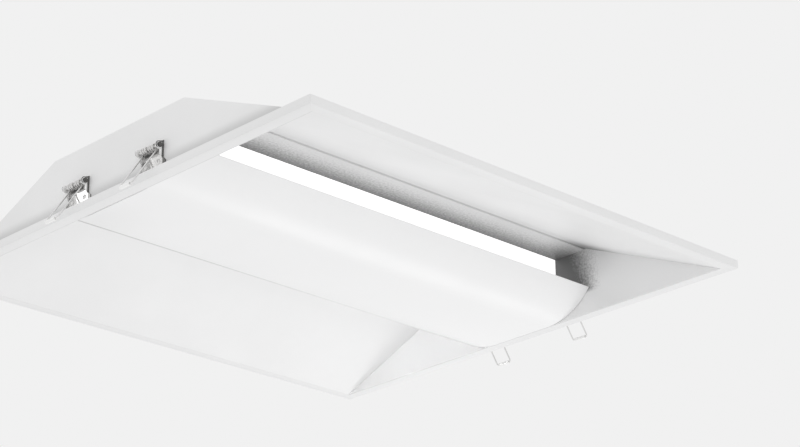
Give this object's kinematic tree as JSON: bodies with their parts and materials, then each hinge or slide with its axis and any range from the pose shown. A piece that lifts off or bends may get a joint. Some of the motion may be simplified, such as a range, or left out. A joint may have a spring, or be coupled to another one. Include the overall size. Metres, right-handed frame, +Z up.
{
  "type": "recessed ceiling light",
  "caption": "Square recessed ceiling light with sloped reflector sides, a curved centre panel, hidden light strips and sprung ceiling clips.",
  "frame": {"origin": "centre of the ceiling opening, in the plane of the ceiling's lower face, which the upper edge of the trim's outer leg meets", "axes": "+Z up into the ceiling, +X along the centre panel towards one pair of clips, +Y across it"},
  "size_m": [0.6434, 0.6, 0.0908],
  "materials": {
    "white_paint": "matt white powder coat",
    "white_panel_paint": "matt white powder coat on aluminium",
    "zinc_steel": "bright zinc",
    "bright_nickel": "bright nickel plate",
    "raw_aluminium": "mill finish",
    "white_circuit_board": "white solder mask",
    "green_circuit_board": "green solder mask",
    "light_emitter": "phosphor resin",
    "opal_plastic": "opal, satin",
    "white_nylon": "moulded",
    "sleeve_plastic": "smooth",
    "brass": "turned",
    "black_rubber": "matt",
    "wire_insulation": "extruded"
  },
  "bodies": {
    "housing": {"trim_rail_front": "white_paint", "trim_rail_right": "white_paint", "trim_rail_back": "white_paint", "trim_rail_left": "white_paint", "corner_keys": "zinc_steel", "trim_screws": "zinc_steel", "housing_top": "white_paint", "side_reflector_front": "white_paint", "side_reflector_back": "white_paint", "end_plate_left": "white_paint", "end_plate_right": "white_paint", "joint_strips": "white_paint", "end_plate_rivets": "zinc_steel", "led_carrier_front": "raw_aluminium", "led_carrier_back": "raw_aluminium", "carrier_rivets": "zinc_steel", "led_board_front": "white_circuit_board", "led_board_back": "white_circuit_board", "led_emitters": "light_emitter", "light_strip_front": "opal_plastic", "light_strip_back": "opal_plastic", "gear_tray": "white_paint", "tray_screws": "zinc_steel", "post_bushes": "white_nylon", "driver_case": "zinc_steel", "driver_lid": "zinc_steel", "driver_board": "green_circuit_board", "driver_screws": "zinc_steel", "terminal_block": "white_nylon", "terminal_screws": "brass", "cable_grommet": "black_rubber", "cable_clamp": "white_nylon", "earth_stud": "brass", "mains_wiring": "wire_insulation", "light_wiring": "wire_insulation", "clip_bracket_1": "bright_nickel", "clip_bracket_2": "bright_nickel", "clip_bracket_3": "bright_nickel", "clip_bracket_4": "bright_nickel", "clip_rivets": "bright_nickel"},
    "panel": {"centre_panel": "white_panel_paint", "panel_ribs": "zinc_steel", "panel_posts": "raw_aluminium", "post_screws": "zinc_steel"},
    "clip_arm_1": {"clip_spring_1": "bright_nickel", "clip_pin_1": "bright_nickel", "clip_sleeve_1": "sleeve_plastic"},
    "clip_arm_2": {"clip_spring_2": "bright_nickel", "clip_pin_2": "bright_nickel", "clip_sleeve_2": "sleeve_plastic"},
    "clip_arm_3": {"clip_spring_3": "bright_nickel", "clip_pin_3": "bright_nickel", "clip_sleeve_3": "sleeve_plastic"},
    "clip_arm_4": {"clip_spring_4": "bright_nickel", "clip_pin_4": "bright_nickel", "clip_sleeve_4": "sleeve_plastic"}
  },
  "joints": [
    {"name": "panel_drop", "type": "slide", "parent": "housing", "child": "panel", "axis": [0, 0, -1], "range_m": [0, 0.035]},
    {"name": "clip_1_swing", "type": "hinge", "parent": "housing", "child": "clip_arm_1", "pos_m": [-0.2925, -0.059, 0.0267], "axis": [0, 1, 0], "range_deg": [0, 140], "stiffness_Nm_per_rad": 0.06, "springref_deg": -22.92},
    {"name": "clip_2_swing", "type": "hinge", "parent": "housing", "child": "clip_arm_2", "pos_m": [-0.2925, 0.059, 0.0267], "axis": [0, 1, 0], "range_deg": [0, 140], "stiffness_Nm_per_rad": 0.06, "springref_deg": -22.92},
    {"name": "clip_3_swing", "type": "hinge", "parent": "housing", "child": "clip_arm_3", "pos_m": [0.2925, -0.059, 0.0267], "axis": [0, -1, 0], "range_deg": [0, 140], "stiffness_Nm_per_rad": 0.06, "springref_deg": -22.92},
    {"name": "clip_4_swing", "type": "hinge", "parent": "housing", "child": "clip_arm_4", "pos_m": [0.2925, 0.059, 0.0267], "axis": [0, -1, 0], "range_deg": [0, 140], "stiffness_Nm_per_rad": 0.06, "springref_deg": -22.92}
  ]
}
